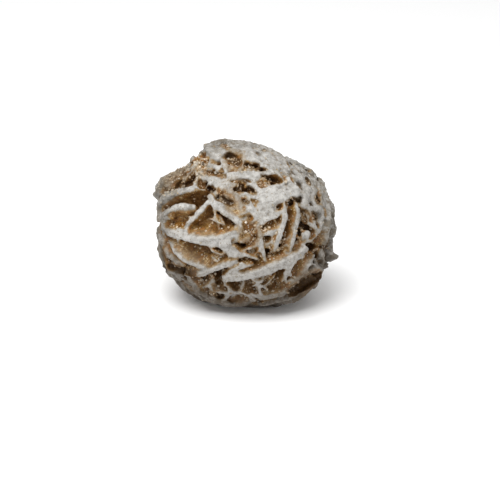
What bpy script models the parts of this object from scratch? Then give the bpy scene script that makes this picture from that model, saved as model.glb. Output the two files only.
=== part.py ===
"""A desert rose: a ball of gypsum plates that grew through one another in sand.

The rose is one grown body. Its plates, called blades here, stand on a lumpy core. The rim of each
blade lies on the rose's outer form, and its faces run in towards the core and leave pockets between
them. Crusted patches, where sand set between the rims, fill some of the pockets. The blades on the
face of the rose are placed one by one. Those round its sides and back grow by a rule: each rim
spreads both ways until it meets another rim.

Run it with: blender --background --python part.py
"""

import math
import random

import bmesh
import bpy
import numpy as np
from mathutils import Matrix, Vector, noise

MM = 0.001

# The rose's size, in millimetres. The face's own axes are across, up and out.
MIDDLE_HEIGHT = 21.8  # from the resting face up to the rose's middle
FACE_TILT = math.radians(20)  # how far the face looks up from level
FRONT_REACH = 23.5  # from the middle out to the front of the face
BACK_REACH = 24.0  # from the middle out to the back

# The outer form seen square to its face: points round its edge, across and up from the middle.
OUTLINE = [
    (26.7, 0.0), (26.0, 3.0), (24.8, 7.2), (22.8, 12.0), (20.2, 14.7), (15.5, 17.0), (10.0, 20.2),
    (4.0, 22.6), (-1.0, 23.5), (-9.8, 23.8), (-11.4, 22.2), (-11.8, 18.4), (-16.0, 17.1),
    (-19.4, 15.3), (-23.0, 14.5), (-24.8, 12.0), (-27.2, 8.4), (-25.6, 6.0), (-26.8, 3.0),
    (-25.8, -1.5), (-25.8, -5.5), (-24.2, -10.5), (-22.0, -15.0), (-18.6, -18.6), (-15.2, -21.0),
    (-9.0, -24.0), (-2.0, -24.9), (5.0, -24.5), (10.2, -25.2), (15.0, -23.4), (18.4, -20.4),
    (21.6, -16.6), (23.2, -13.0), (24.4, -11.4), (26.9, -9.9), (25.3, -7.6), (26.2, -3.5),
]  # fmt: skip

# The core: how far in it lies, and the crusted patches where it comes up almost to the rims.
CORE_SHARE = 0.79
CORE_FINENESS = 3  # subdivisions of the ball that it starts from
CORE_LUMPS = 1.0  # height of its lumps
CORE_LUMP_SIZE = 6.0
CRUST_BELOW_RIMS = 0.8
CRUST_LUMPS = 0.5  # height of the crust's lumps
CRUST_FULL = 0.8  # share of a patch's spread that is full crust
CRUST_END = 1.3  # share of its spread where it ends
CRUSTED = 0.5  # a spot with more crust than this share is finer, and no blade grows there
CRUSTS = [  # across and up the face, and how far the patch spreads
    (-4.0, 22.0, 7.5), (9.0, 18.5, 8.5), (18.0, 13.0, 8.0), (24.0, 5.0, 6.5),
    (-21.0, 12.6, 4.5), (-15.0, -20.0, 4.0), (2.0, -24.0, 4.0), (14.0, -22.0, 3.5),
]  # fmt: skip
BASE_CRUST_SPREAD = 15.0  # round the resting face

# Blades
ROOT_SHARE = 0.70  # how near the middle a blade's root goes, as a share of the outer form
MOST_RUN_IN = 13.0  # the longest way in from rim to root
ROOT_THICKNESS = 0.7  # as a share of the rim's thickness
STATION_GAP = 3.2  # between the cross-sections of a blade
CURVE_STEPS = 8  # points between two given ones on a smooth rim
END_DROP = 0.5  # how much lower a rim is at its two ends
END_THICKNESS = 0.7  # as a share of the rim's thickness

# Rims on the face: (points across and up, thickness, lean in degrees, how far proud of the form).
# A blade with a lean above 0 runs in towards the left hand of someone who walks its rim.
FACE_BLADES = [
    # left side, from the shoulder down
    ([(-25.9, 8.6), (-24.0, 11.8), (-21.8, 13.7), (-18.8, 14.9)], 1.7, -10, 0.0),
    ([(-25.6, 10.0), (-26.3, 8.4), (-25.6, 6.8)], 1.2, 0, -0.1),
    ([(-19.0, 14.4), (-17.2, 15.9), (-13.8, 16.6)], 1.6, 0, 0.0),
    ([(-25.2, 5.6), (-20.8, 8.6), (-14.8, 10.4)], 1.6, -22, 0.1),
    ([(-24.0, 2.4), (-19.2, 4.8), (-13.9, 4.9)], 2.1, -28, 0.1),
    ([(-25.2, 5.0), (-24.0, 1.4), (-22.8, -2.8)], 2.4, 30, 0.0),
    ([(-10.0, 6.4), (-13.3, 2.5), (-17.5, -2.2)], 1.6, 5, 0.1),
    ([(-22.4, -2.4), (-17.0, -4.0), (-11.5, -5.1), (-6.5, -4.8), (-2.0, -2.8)], 2.3, 38, 0.3),
    ([(-10.3, 8.0), (-8.3, 4.9), (-4.5, 2.4), (-1.0, -0.4)], 2.2, 20, 0.2),
    ([(-9.4, 4.0), (-8.3, 1.0), (-7.2, -2.2)], 1.0, 12, -0.8),
    ([(-1.4, 0.8), (-1.0, -1.6), (-1.8, -4.2)], 1.5, 0, 0.0),
    ([(-8.5, -5.2), (-5.5, -6.9), (-2.6, -7.9), (-0.5, -9.8)], 1.9, 15, 0.1),
    ([(-10.8, -6.1), (-8.9, -7.9), (-7.2, -9.1), (-4.4, -7.6)], 0.8, 15, 0.0),
    ([(-21.8, -5.0), (-19.3, -8.9), (-15.2, -11.7), (-10.2, -13.0)], 1.7, 42, 0.0),
    ([(-24.9, -3.2), (-23.0, -6.9), (-20.8, -10.2), (-17.2, -12.6)], 1.2, 35, 0.1),
    ([(-25.0, -5.8), (-23.8, -9.7), (-21.6, -13.6), (-17.6, -15.2)], 1.4, 10, 0.0),
    ([(-17.2, -15.0), (-12.0, -14.4), (-7.6, -12.9), (-1.8, -10.4)], 1.5, 32, 0.2),
    ([(-5.8, -15.6), (-3.8, -13.5), (-1.2, -12.1), (2.2, -11.2)], 1.3, 20, 0.0),
    (
        [(-6.4, -15.6), (-0.5, -14.9), (5.0, -13.4), (10.0, -11.4), (14.5, -9.4), (18.0, -6.9)],
        2.6, 24, 0.4,
    ),
    # the middle, where small plates fill the gaps between the large ones
    ([(1.6, -0.2), (2.3, -2.8), (1.9, -5.4)], 1.3, 0, -1.3),
    ([(-0.2, -5.6), (2.0, -6.8), (4.0, -6.2)], 1.1, 20, -1.2),
    ([(-0.6, -8.4), (1.8, -9.5), (4.6, -9.0)], 1.2, 10, -0.8),
    ([(0.3, 2.2), (1.3, 4.6), (2.6, 6.2)], 1.1, 0, -0.7),
    ([(-3.8, -5.8), (-1.6, -4.6), (0.6, -4.4)], 1.0, 20, -0.6),
    ([(-5.6, 7.4), (-3.8, 6.2), (-2.4, 3.6)], 0.9, 0, -1.0),
    # right side, from the middle out
    ([(3.9, -1.2), (4.5, -4.5), (5.0, -7.4), (5.8, -10.8)], 1.5, -14, 0.1),
    ([(2.8, -1.3), (5.2, 0.5), (8.2, 1.8), (10.6, 3.4)], 1.6, 10, 0.1),
    ([(4.7, -3.6), (7.2, -3.0), (9.8, -1.6)], 1.5, 36, -0.2),
    ([(11.3, 5.6), (11.4, 2.4), (10.6, -0.8), (9.6, -4.0), (8.2, -7.8)], 1.6, -8, 0.2),
    ([(14.2, 5.4), (15.2, 2.6), (14.6, -0.6), (13.6, -4.4), (12.6, -8.6)], 1.3, -14, 0.0),
    ([(2.6, 7.4), (5.6, 8.6), (9.6, 9.8), (13.6, 11.4)], 2.8, 0, 0.1),
    ([(3.4, 4.4), (7.2, 5.9), (11.2, 7.8), (16.0, 9.4)], 2.8, -6, 0.3),
    ([(2.4, 1.0), (5.6, 2.9), (9.2, 3.8)], 2.4, 10, 0.0),
    ([(17.2, 10.6), (17.4, 7.4), (16.4, 4.4)], 1.8, 0, 0.1),
    ([(16.4, 5.0), (19.6, 4.2), (23.2, 4.8)], 1.6, -15, 0.0),
    ([(23.4, 9.4), (24.2, 4.0), (23.9, -1.0), (23.3, -6.4)], 2.6, -28, 0.0),
    ([(25.6, 1.8), (25.9, -1.2), (25.5, -4.2)], 1.5, 0, 0.2),
    ([(22.2, 3.8), (22.1, 0.4), (21.2, -3.2)], 1.2, 10, -0.2),
    ([(16.3, 3.2), (17.2, 0.4), (19.0, -0.8), (21.4, -2.0)], 1.1, 20, -0.3),
    ([(16.6, -2.6), (18.2, -4.0)], 2.6, 0, 0.1),
    ([(15.8, -6.2), (18.4, -5.2), (21.0, -3.4)], 0.9, 15, -0.2),
    ([(22.5, -7.4), (22.2, -9.6), (22.8, -11.9)], 1.0, 0, 0.0),
    ([(24.6, -8.2), (26.3, -9.8), (24.2, -11.1)], 1.8, 0, 0.2),
    # lower right
    ([(13.4, -10.6), (13.2, -13.8)], 0.9, 0, -0.6),
    ([(12.2, -12.6), (11.3, -14.6), (10.6, -17.0)], 1.0, 0, -0.3),
    ([(20.2, -9.0), (17.8, -12.0), (15.9, -14.8), (13.8, -17.4), (12.0, -19.5)], 1.3, -35, 0.0),
    ([(12.6, -19.0), (9.2, -20.6), (5.2, -21.0), (1.4, -20.0)], 1.9, -15, 0.1),
    ([(16.0, -15.4), (18.4, -13.9), (22.2, -13.4)], 1.9, 20, 0.0),
    ([(20.0, -10.0), (20.6, -12.2), (22.2, -13.7)], 0.9, 0, 0.0),
    ([(22.0, -13.8), (21.7, -15.4), (20.6, -17.0)], 1.4, 0, 0.1),
    ([(20.8, -15.6), (18.0, -19.4), (14.8, -21.8), (11.0, -23.2)], 1.6, -30, 0.0),
    ([(15.2, -19.8), (12.0, -21.6), (8.0, -22.6), (4.6, -22.8)], 1.5, -10, 0.0),
    # bottom
    ([(-0.1, -15.4), (-0.7, -17.6), (-1.9, -20.4)], 1.1, 10, -0.2),
    ([(3.5, -15.2), (3.9, -18.2), (5.0, -21.0)], 1.4, 10, -0.1),
    ([(8.2, -15.2), (7.2, -16.8), (5.4, -17.9)], 1.0, -20, -0.9),
    ([(-8.8, -15.4), (-10.2, -17.6), (-12.6, -18.8)], 1.1, -20, -0.3),
    ([(-15.8, -15.6), (-14.0, -18.8), (-11.6, -20.6), (-9.0, -22.2)], 1.4, 30, 0.0),
    ([(-9.8, -17.8), (-9.2, -20.4), (-8.0, -22.8)], 1.4, 0, -0.1),
    ([(-4.4, -19.0), (-5.4, -21.2), (-6.6, -23.2)], 1.1, 0, -0.2),
    ([(-9.4, -20.0), (-6.6, -19.6), (-3.8, -20.6)], 1.0, 20, -0.3),
    ([(-14.6, -20.4), (-8.4, -22.8), (-2.0, -23.4), (3.0, -22.4)], 1.7, 25, 0.0),
    ([(-3.0, -19.6), (0.4, -20.3), (3.0, -22.2)], 1.2, 25, -0.2),
    ([(-6.4, -15.4), (-5.8, -17.4), (-3.6, -19.4)], 1.3, 0, -0.5),
    # top left
    ([(-15.2, 16.4), (-12.4, 14.9), (-10.6, 12.6)], 1.7, 0, 0.0),
    ([(-13.4, 13.8), (-14.1, 11.8), (-13.7, 9.9), (-11.0, 9.4)], 0.9, 0, 0.0),
    ([(-18.4, 11.8), (-16.8, 13.4), (-14.2, 14.7)], 1.0, 15, -0.5),
    ([(-22.4, 9.6), (-21.0, 12.2), (-20.4, 15.0)], 1.2, 20, -0.8),
    ([(-11.6, 17.4), (-9.0, 16.2), (-6.6, 16.4)], 1.4, 10, -0.4),
    ([(-10.4, 14.2), (-9.0, 15.6), (-8.6, 17.8)], 1.1, 0, -0.9),
    ([(-3.6, 19.6), (-3.4, 17.2), (-4.4, 15.0)], 1.2, 0, -0.6),
    # top
    ([(-10.8, 23.2), (-9.4, 20.6), (-7.2, 18.6)], 2.5, -10, 0.2),
    ([(-8.8, 20.4), (-5.4, 20.4), (-2.2, 21.6), (2.0, 22.2)], 1.9, 15, 0.1),
    ([(-7.6, 19.2), (-5.8, 17.2), (-5.2, 14.6)], 1.5, 0, 0.0),
    ([(0.8, 20.6), (-0.6, 17.8), (-1.5, 15.0)], 1.1, 15, 0.0),
    ([(-0.2, 18.6), (2.2, 18.0), (5.0, 18.8)], 2.6, 10, 0.1),
    ([(1.0, 13.8), (4.0, 15.4), (6.0, 16.8)], 1.1, 15, 0.0),
    ([(3.4, 13.4), (6.2, 14.0), (9.8, 14.6)], 2.0, 0, 0.2),
    ([(-12.8, 13.5), (-8.2, 12.4), (-4.0, 13.1), (0.2, 13.6), (4.2, 12.9)], 2.3, 12, 0.1),
    ([(-10.0, 11.4), (-6.0, 10.7), (-2.0, 11.0)], 1.6, 12, -0.1),
    ([(-5.4, 9.8), (-2.8, 8.2), (-1.2, 5.6), (-0.9, 2.8)], 1.2, 10, 0.0),
    ([(-9.2, 9.0), (-7.0, 7.2), (-6.4, 5.4), (-3.6, 4.0)], 1.3, 15, -0.4),
    ([(-2.2, 6.6), (0.2, 8.5), (2.8, 7.2)], 1.1, 10, -0.1),
    ([(0.4, 11.2), (2.6, 10.6), (4.3, 8.4), (4.0, 5.6)], 1.4, 10, 0.0),
    # upper right, round the crusted patch
    ([(16.0, 14.4), (16.3, 11.8), (17.6, 9.4)], 1.4, 0, 0.0),
    ([(17.6, 14.2), (19.4, 11.2), (20.8, 8.2)], 1.4, 0, 0.0),
    ([(19.8, 13.6), (21.6, 10.4), (22.4, 6.2)], 1.3, -10, 0.0),
    ([(18.2, 8.8), (19.6, 6.8), (20.2, 4.4)], 0.9, 0, -0.4),
]  # fmt: skip

# Small pits in the crusted patches: (across, up, length, width, turn in degrees)
PITS = [
    (6.8, 12.3, 4.6, 2.2, 12), (3.0, 16.0, 5.0, 2.0, 35), (9.2, 17.6, 2.8, 1.9, 0),
    (12.0, 15.4, 1.9, 3.0, 15), (14.6, 13.6, 2.0, 3.2, 25), (5.6, 20.6, 2.0, 1.6, 0),
    (-5.8, 21.4, 3.2, 2.4, 0), (-3.0, 18.4, 3.6, 3.2, 20), (9.8, 12.4, 1.8, 1.8, 0),
    (20.2, 5.6, 1.9, 2.6, 0), (15.4, -2.8, 1.8, 2.8, 0), (-15.6, 12.6, 2.0, 1.8, 0),
]  # fmt: skip
PIT_DEPTH = 2.6
PIT_SIDES = 6
PIT_FLOOR_SHARE = 0.45  # of its width at the mouth

# The rule by which the other blades grow
SEED = 11
SEED_BLADES = 150  # spread evenly over the whole ball; those on the face are left out
GOLDEN_TURN = math.pi * (3 - math.sqrt(5))  # from one seed to the next
SEED_SCATTER = 0.10
FACE_EDGE = 0.05  # a seed grows where its direction leans out of the face's plane by less than this
GROWTH_STEP = 0.9
GROWTH_STOP = 1.3  # a rim stops this near another one
FREE_STEPS = 2  # steps that a rim takes before it can meet another
LEAST_STEPS = 4  # a blade that met others sooner than this is left out
HALF_LENGTHS = (5.0, 13.0)
GROWN_THICKNESSES = (1.2, 2.3)
GROWN_LEAN = math.radians(42)
GROWN_PROUD = (-0.6, 0.2)
GROWN_STATION_GAP = 4.0
GROWN_ROOT_LENGTH = 0.8  # as a share of the rim's length
HALVINGS = 24  # how closely a rim's place on the outer form is worked out
SEARCH_OUT = 0.5  # how far out of the form it is looked for, as a share of the blade's run in

BASE_BLOCK_WIDE = 80.0
BASE_BLOCK_DEEP = 20.0

COLOUR = (0.50, 0.42, 0.33, 1.0)
ROUGHNESS = 0.75

MIDDLE = Vector((0, 0, MIDDLE_HEIGHT))
FACE_AXES = Matrix.Rotation(-FACE_TILT, 3, "X") @ Matrix(((1, 0, 0), (0, 0, -1), (0, 1, 0)))
OUTLINE_ANGLES = [math.atan2(up, across) for across, up in OUTLINE]
OUTLINE_REACHES = [math.hypot(across, up) for across, up in OUTLINE]


def edge_reach(angle):
    """From the middle out to the outline, at this angle round the face."""
    return float(np.interp(angle, OUTLINE_ANGLES, OUTLINE_REACHES, period=2 * math.pi))


def form_radius(direction):
    """The outer form's radius along a unit direction in the face's axes."""
    across, up, out = direction
    level = math.hypot(across, up) / edge_reach(math.atan2(up, across))
    return 1 / math.hypot(level, out / (FRONT_REACH if out > 0 else BACK_REACH))


def direction_on_face(across, up):
    """The direction from the middle to the point of the outer form that shows at (across, up)."""
    share = min(1.0, math.hypot(across, up) / edge_reach(math.atan2(up, across)))
    return Vector((across, up, FRONT_REACH * math.sqrt(1 - share * share))).normalized()


def mesh_object(name, bm, collection):
    mesh = bpy.data.meshes.new(name)
    bm.to_mesh(mesh)
    bm.free()
    obj = bpy.data.objects.new(name, mesh)
    collection.objects.link(obj)
    return obj


def smooth_way(points):
    """Points close together on a smooth curve through the given ones (a Catmull-Rom spline)."""
    points = [Vector(p) for p in points]
    ends = [2 * points[0] - points[1], *points, 2 * points[-1] - points[-2]]
    way = []
    for before, a, b, after in zip(ends, ends[1:], ends[2:], ends[3:]):
        for step in range(CURVE_STEPS):
            t = step / CURVE_STEPS
            turn = 2 * before - 5 * a + 4 * b - after
            twist = 3 * a - before - 3 * b + after
            way.append(a + 0.5 * ((b - before) * t + turn * t**2 + twist * t**3))
    return [*way, points[-1]]


def evenly(points, gap):
    """The same way with its points spread evenly, about this gap apart."""
    lengths = [0.0]
    for a, b in zip(points, points[1:]):
        lengths.append(lengths[-1] + (b - a).length)
    count = max(2, round(lengths[-1] / gap)) + 1
    spots = np.linspace(0, lengths[-1], count)
    columns = [np.interp(spots, lengths, [p[axis] for p in points]) for axis in range(3)]
    return [Vector(p) for p in zip(*columns)]


def rim_on_face(points):
    """A rim's points on the outer form, in the face's axes, from points across and up the face."""
    way = []
    for spot in smooth_way([(*p, 0) for p in points]):
        direction = direction_on_face(spot.x, spot.y)
        way.append(direction * form_radius(direction))
    return evenly(way, STATION_GAP)


def run_in(radius, lean):
    """How far a blade runs in at this lean before its root is inside the core."""
    root = ROOT_SHARE * radius
    off = radius * math.sin(lean)
    if abs(off) >= root:
        return MOST_RUN_IN
    return min(MOST_RUN_IN, radius * math.cos(lean) - math.sqrt(root * root - off * off))


def blade_section(spot, along, lean, thickness, proud):
    """The four corners of a blade's cross-section: two at the rim and two at the root."""
    outward = spot.normalized()
    left = outward.cross(along).normalized()
    inward = math.sin(lean) * left - math.cos(lean) * outward
    side = along.cross(inward).normalized()
    crown = spot + proud * outward
    root = spot + run_in(spot.length, lean) * inward
    half = 0.5 * thickness
    return [
        crown + half * side,
        root + half * ROOT_THICKNESS * side,
        root - half * ROOT_THICKNESS * side,
        crown - half * side,
    ]


def curved_blade(name, rim, thickness, lean, proud, collection):
    """One plate, drawn along its rim from cross-section to cross-section, and closed at both ends."""
    bm = bmesh.new()
    end = None
    for k, spot in enumerate(rim):
        along = (rim[min(k + 1, len(rim) - 1)] - rim[max(k - 1, 0)]).normalized()
        at_end = k in (0, len(rim) - 1)
        corners = blade_section(
            spot,
            along,
            math.radians(lean),
            thickness * (END_THICKNESS if at_end else 1),
            proud - (END_DROP if at_end else 0),
        )
        if end is None:
            end = bm.faces.new([bm.verts.new(corner) for corner in corners])
            continue
        made = bmesh.ops.extrude_face_region(bm, geom=[end])["geom"]
        if k > 1:
            bm.faces.remove(end)
        end = next(part for part in made if isinstance(part, bmesh.types.BMFace))
        for vert, corner in zip(end.verts, corners):
            vert.co = corner
    bmesh.ops.recalc_face_normals(bm, faces=bm.faces)
    return mesh_object(name, bm, collection)


def patch_share(direction, patches):
    """1 inside any of these patches, falling to 0 outside them."""
    nearest = min((direction - middle).length * FRONT_REACH / spread for middle, spread in patches)
    return max(0.0, min(1.0, (CRUST_END - nearest) / (CRUST_END - CRUST_FULL)))


def crust_patches():
    return [(direction_on_face(across, up), spread) for across, up, spread in CRUSTS]


def base_patch():
    return (FACE_AXES.transposed() @ Vector((0, 0, -1)), BASE_CRUST_SPREAD)


def core(collection):
    """The lumpy ball that the blades stand on, finer where it is crusted."""
    bm = bmesh.new()
    bmesh.ops.create_icosphere(bm, subdivisions=CORE_FINENESS, radius=1)
    patches = crust_patches()
    crusted = {vert for vert in bm.verts if patch_share(vert.co, patches) > CRUSTED}
    fine = [edge for edge in bm.edges if crusted.issuperset(edge.verts)]
    bmesh.ops.subdivide_edges(bm, edges=fine, cuts=1, use_grid_fill=True)
    bmesh.ops.triangulate(bm, faces=bm.faces)
    patches.append(base_patch())
    for vert in bm.verts:
        direction = vert.co.normalized()
        reach = form_radius(direction)
        lump = noise.noise(direction * reach / CORE_LUMP_SIZE)
        deep = CORE_SHARE * reach + CORE_LUMPS * lump
        high = reach - CRUST_BELOW_RIMS + CRUST_LUMPS * lump
        vert.co = direction * (deep + (high - deep) * patch_share(direction, patches))
    return mesh_object("core", bm, collection)


class Plate:
    """A flat blade whose rim is where its plane meets the outer form, and grows both ways."""

    def __init__(self, direction, turn, lean, half_length, thickness, proud):
        self.spot = direction * form_radius(direction)
        self.along = direction.orthogonal().normalized()
        self.along.rotate(Matrix.Rotation(turn, 3, direction))
        left = direction.cross(self.along).normalized()
        self.inward = math.sin(lean) * left - math.cos(lean) * direction
        self.depth = run_in(self.spot.length, lean)
        self.half_length = half_length
        self.thickness = thickness
        self.proud = proud
        self.ways = [[self.spot], [self.spot]]
        self.met = [False, False]

    def rim_point(self, off):
        """The point of the rim this far along from its first one."""
        foot = self.spot + off * self.along
        low, high = -SEARCH_OUT * self.depth, self.depth
        for _ in range(HALVINGS):
            tried = 0.5 * (low + high)
            point = foot + tried * self.inward
            if point.length > form_radius(point.normalized()):
                low = tried
            else:
                high = tried
        return foot + high * self.inward

    def spread(self, end, others):
        """Adds one step to one end of the rim, unless it has met another rim or is long enough."""
        way = self.ways[end]
        if self.met[end] or len(way) * GROWTH_STEP > self.half_length:
            return
        ahead = self.rim_point(len(way) * GROWTH_STEP * (1 if end == 0 else -1))
        way.append(ahead)
        near = any((ahead - other).length < GROWTH_STOP for other in others)
        self.met[end] = near and len(way) > FREE_STEPS

    def steps(self):
        return sum(len(way) for way in self.ways)

    def build(self, name, collection):
        """The plate as a slab: its rim, and a root inside the core."""
        first = -GROWTH_STEP * (len(self.ways[1]) - 1)
        last = GROWTH_STEP * (len(self.ways[0]) - 1)
        count = max(2, round((last - first) / GROWN_STATION_GAP)) + 1
        offs = [first + (last - first) * k / (count - 1) for k in range(count)]
        rim = [self.rim_point(off) - self.proud * self.inward for off in offs]
        rim[0] += END_DROP * self.inward
        rim[-1] += END_DROP * self.inward
        root = self.spot + self.depth * self.inward
        roots = [root + GROWN_ROOT_LENGTH * off * self.along for off in (last, first)]
        side = self.along.cross(self.inward).normalized() * 0.5 * self.thickness
        bm = bmesh.new()
        face = bm.faces.new([bm.verts.new(point - side) for point in [*rim, *roots]])
        made = bmesh.ops.extrude_face_region(bm, geom=[face])["geom"]
        moved = [part for part in made if isinstance(part, bmesh.types.BMVert)]
        bmesh.ops.translate(bm, verts=moved, vec=2 * side)
        bmesh.ops.recalc_face_normals(bm, faces=bm.faces)
        return mesh_object(name, bm, collection)


def grown_plates(rims):
    """The plates round the sides and back: their rims spread until they meet others."""
    rng = random.Random(SEED)
    taken = [p for rim in rims for p in evenly(rim, GROWTH_STEP)]
    patches = [*crust_patches(), base_patch()]
    plates = []
    for k in range(SEED_BLADES):
        out = 1 - 2 * (k + 0.5) / SEED_BLADES
        level = math.sqrt(1 - out * out)
        turn = k * GOLDEN_TURN
        direction = Vector((level * math.cos(turn), level * math.sin(turn), out))
        direction += SEED_SCATTER * Vector([rng.uniform(-1, 1) for _ in range(3)])
        direction.normalize()
        plate = Plate(
            direction,
            rng.uniform(0, math.pi),
            rng.uniform(-GROWN_LEAN, GROWN_LEAN),
            rng.uniform(*HALF_LENGTHS),
            rng.uniform(*GROWN_THICKNESSES),
            rng.uniform(*GROWN_PROUD),
        )
        if direction.z < FACE_EDGE and patch_share(direction, patches) < CRUSTED:
            plates.append(plate)
    for _ in range(round(max(HALF_LENGTHS) / GROWTH_STEP)):
        for plate in plates:
            others = [p for other in plates if other is not plate for way in other.ways for p in way]
            for end in (0, 1):
                plate.spread(end, taken + others)
    return [plate for plate in plates if plate.steps() > LEAST_STEPS]


def pit_cutter(across, up, length, width, turn, collection):
    """A blunt tapered peg that leaves a small pit, long side turned round the outward direction."""
    bm = bmesh.new()
    bmesh.ops.create_cone(
        bm,
        cap_ends=True,
        segments=PIT_SIDES,
        radius1=0.5 * PIT_FLOOR_SHARE,
        radius2=0.5,
        depth=2 * PIT_DEPTH,
    )
    direction = direction_on_face(across, up)
    sideways = Vector((1, 0, 0)) - direction.x * direction
    sideways.normalize()
    place = Matrix((sideways, direction.cross(sideways), direction)).transposed().to_4x4()
    place.translation = direction * form_radius(direction)
    shape = Matrix.Rotation(math.radians(turn), 4, "Z") @ Matrix.Diagonal((length, width, 1, 1))
    bm.transform(place @ shape)
    return mesh_object("pit", bm, collection)


def base_cutter(collection):
    """A block whose top face is the plane that the rose rests on."""
    bm = bmesh.new()
    bmesh.ops.create_cube(bm, size=1)
    to_face = FACE_AXES.transposed().to_4x4()
    below = Matrix.Translation((0, 0, -MIDDLE_HEIGHT - 0.5 * BASE_BLOCK_DEEP))
    size = Matrix.Diagonal((BASE_BLOCK_WIDE, BASE_BLOCK_WIDE, BASE_BLOCK_DEEP, 1))
    bm.transform(to_face @ below @ size)
    return mesh_object("base_block", bm, collection)


def helper_collection(name):
    collection = bpy.data.collections.new(name)
    bpy.context.scene.collection.children.link(collection)
    return collection


def boolean(obj, operation, collection):
    modifier = obj.modifiers.new(operation.lower(), "BOOLEAN")
    modifier.operation = operation
    modifier.solver = "EXACT"
    modifier.operand_type = "COLLECTION"
    modifier.collection = collection


def evaluated_mesh(obj):
    """The mesh that an object's modifiers make."""
    bpy.context.view_layer.update()
    graph = bpy.context.evaluated_depsgraph_get()
    return bpy.data.meshes.new_from_object(obj.evaluated_get(graph), depsgraph=graph)


def keep_largest_shell(bm):
    """Leaves only the outer shell, without the closed gaps that blades leave deep inside."""
    unseen = set(bm.faces)
    shells = []
    while unseen:
        shell, front = [], [unseen.pop()]
        while front:
            face = front.pop()
            shell.append(face)
            for edge in face.edges:
                for other in edge.link_faces:
                    if other in unseen:
                        unseen.remove(other)
                        front.append(other)
        shells.append(shell)
    shells.sort(key=len)
    bmesh.ops.delete(bm, geom=[f for shell in shells[:-1] for f in shell], context="FACES")


def centre_on_base(bm):
    """Moves the rose so that the middle of its bounding box's bottom is the origin."""
    spots = np.array([vert.co for vert in bm.verts])
    low, high = spots.min(axis=0), spots.max(axis=0)
    shift = Vector((-0.5 * (low[0] + high[0]), -0.5 * (low[1] + high[1]), -low[2]))
    bmesh.ops.translate(bm, verts=bm.verts, vec=shift)


def material():
    made = bpy.data.materials.new("frosted_gypsum")
    made.use_nodes = True
    surface = made.node_tree.nodes["Principled BSDF"]
    surface.inputs["Base Color"].default_value = COLOUR
    surface.inputs["Roughness"].default_value = ROUGHNESS
    surface.inputs["Metallic"].default_value = 0.0
    return made


def main():
    for obj in list(bpy.data.objects):
        bpy.data.objects.remove(obj)
    workshop = helper_collection("workshop")
    blades = helper_collection("blades")
    cutters = helper_collection("cutters")

    rims = []
    for k, (points, thickness, lean, proud) in enumerate(FACE_BLADES):
        rims.append(rim_on_face(points))
        curved_blade(f"face_blade_{k}", rims[-1], thickness, lean, proud, blades)
    for k, plate in enumerate(grown_plates(rims)):
        plate.build(f"grown_blade_{k}", blades)
    for pit in PITS:
        pit_cutter(*pit, cutters)
    base_cutter(cutters)

    body = core(workshop)
    boolean(body, "UNION", blades)
    boolean(body, "DIFFERENCE", cutters)
    bm = bmesh.new()
    bm.from_mesh(evaluated_mesh(body))
    keep_largest_shell(bm)
    for obj in list(bpy.data.objects):
        bpy.data.objects.remove(obj)
    bm.transform(Matrix.Scale(MM, 4) @ Matrix.Translation(MIDDLE) @ FACE_AXES.to_4x4())
    centre_on_base(bm)
    rose = mesh_object("desert_rose", bm, bpy.context.scene.collection)
    rose.data.materials.append(material())


main()
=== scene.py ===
"""The looks of a desert rose: gypsum plates with frosted rims, and amber pockets full of crystals.

Small plates grow on the solid, all is joined into one skin and weathered, and small crystals are
stuck to the pockets' walls. Lengths are in millimetres unless a comment says otherwise. A place on
the rose's face is given by how far across and up from the face's middle it is.
"""

import math
import random

import bmesh
import bpy
import numpy as np
from mathutils import Matrix, Vector, noise
from mathutils.bvhtree import BVHTree
from mathutils.kdtree import KDTree


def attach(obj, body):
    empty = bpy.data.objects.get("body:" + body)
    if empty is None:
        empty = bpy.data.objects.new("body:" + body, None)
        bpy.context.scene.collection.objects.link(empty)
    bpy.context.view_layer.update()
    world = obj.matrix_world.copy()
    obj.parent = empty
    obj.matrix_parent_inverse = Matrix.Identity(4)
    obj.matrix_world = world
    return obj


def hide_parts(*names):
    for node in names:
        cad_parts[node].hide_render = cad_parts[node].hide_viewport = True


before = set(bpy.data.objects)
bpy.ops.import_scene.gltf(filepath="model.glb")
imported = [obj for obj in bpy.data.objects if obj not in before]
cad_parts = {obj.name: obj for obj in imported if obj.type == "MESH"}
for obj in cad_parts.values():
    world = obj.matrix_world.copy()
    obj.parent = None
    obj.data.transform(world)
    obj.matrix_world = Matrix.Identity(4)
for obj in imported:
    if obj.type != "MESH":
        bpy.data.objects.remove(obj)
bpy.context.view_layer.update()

MM = 0.001
SEED = 5

# Where the rose's middle is, and how far its face looks up from level
MIDDLE = Vector((-0.20, 0.313, 21.8)) * MM
FACE_TILT = math.radians(20)
FACE_ACROSS = Vector((1, 0, 0))
FACE_UP = Vector((0, math.sin(FACE_TILT), math.cos(FACE_TILT)))
FACE_OUT = Vector((0, -math.cos(FACE_TILT), math.sin(FACE_TILT)))

# The limb is the face's outer ring, and the back starts behind the rose's middle.
LIMB_STARTS = 20.0  # from the face's middle
LIMB_FULL = 23.5
BACK_STARTS = 0.0
BACK_FULL = 9.0

# The skin is the form that the rims reach. It is read from the solid.
SKIN_FINENESS = 5  # how often the ball of directions that it is read in is divided
SKIN_NEIGHBOURS = 60
SKIN_SHARE = 85  # percentile of its neighbours' radii that the skin reaches at a spot
OUTSIDE = 60.0  # from the middle to where rays start inwards
FIRST_REACH = 26.0  # a first guess at how far the face's places are from the middle
SPOT_ROUNDS = 4  # of making that guess better

# Places that are scattered over the rose
AIM_ASIDE = 22.0  # how far past the middle a ray that finds one may aim
MOST_TRIES = 40  # for each place
LEAST_HEIGHT = 3.0  # nothing is added lower, because the rose rests there
BATCH = 600  # vertices of small shapes that are made together

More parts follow.
